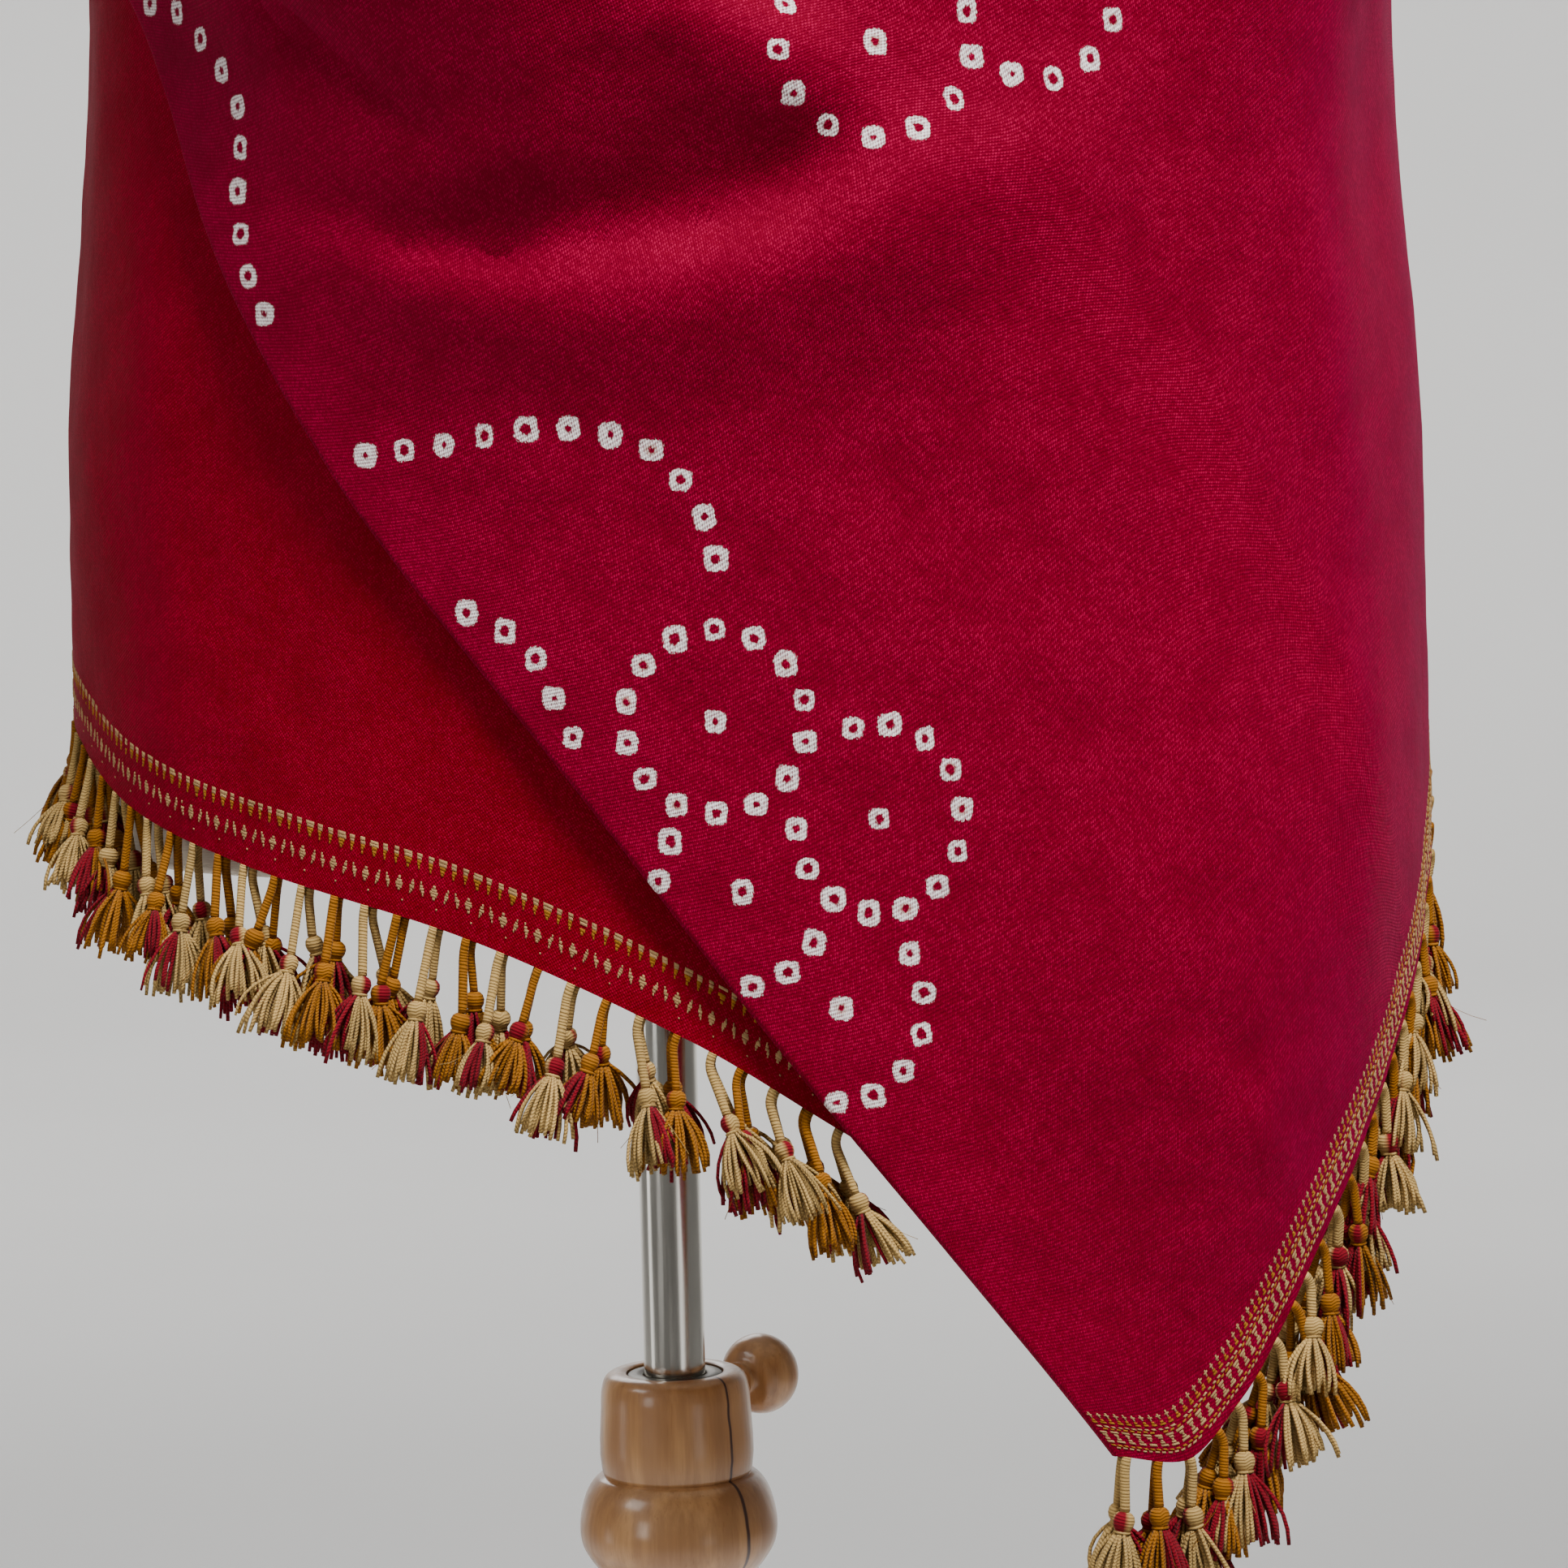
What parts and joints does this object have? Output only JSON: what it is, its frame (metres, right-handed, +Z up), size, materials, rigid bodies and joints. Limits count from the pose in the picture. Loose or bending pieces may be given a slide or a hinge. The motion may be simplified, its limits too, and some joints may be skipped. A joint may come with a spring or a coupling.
{
  "type": "wool shawl on a limbless dress form with its stand",
  "caption": "Tie-dyed wool shawl with woven end borders and tasselled hems, wrapped round a limbless dress form on a turned wooden stand with sliding pole",
  "frame": {"origin": "on the floor, on the axis of the pole, at the centre of the four feet", "axes": "+Z up along the pole, the front of the form faces -Y, +X to the right of someone who looks at the front"},
  "size_m": [0.588, 0.588, 1.516],
  "materials": {
    "wool_cloth": "fulled plain-woven crimson wool with a soft sheen, tie-dyed white dots and a woven cream and ochre border",
    "tassel_yarn": "plied wool yarn, cream and ochre in turn with some crimson",
    "form_cover": "smooth cream jersey cover",
    "stand_wood": "turned pale hardwood under satin varnish",
    "pole_metal": "polished plated tube",
    "screw_steel": "plain steel"
  },
  "bodies": {
    "stand": {"stand_post": "stand_wood", "leg_1": "stand_wood", "leg_2": "stand_wood", "leg_3": "stand_wood", "leg_4": "stand_wood"},
    "mast": {"pole": "pole_metal"},
    "form": {"torso": "form_cover", "neck_cap": "stand_wood", "form_flange": "screw_steel", "shawl_over": "wool_cloth", "shawl_back": "wool_cloth", "shawl_under": "wool_cloth", "fringe_over_front": "tassel_yarn", "fringe_over_rear": "tassel_yarn", "fringe_under_front": "tassel_yarn", "fringe_under_rear": "tassel_yarn"},
    "knob": {"clamp_knob": "stand_wood", "clamp_screw": "screw_steel"}
  },
  "joints": [
    {"name": "height_slide", "type": "slide", "parent": "stand", "child": "mast", "axis": [0, 0, 1], "range_m": [-0.12, 0.2]},
    {"name": "form_swivel", "type": "hinge", "parent": "mast", "child": "form", "pos_m": [0, 0, 0.7667], "axis": [0, 0, 1], "continuous": true},
    {"name": "knob_turn", "type": "hinge", "parent": "stand", "child": "knob", "pos_m": [0.0253, 0.0369, 0.6045], "axis": [0.565, 0.8251, 0], "range_deg": [0, 360]}
  ]
}
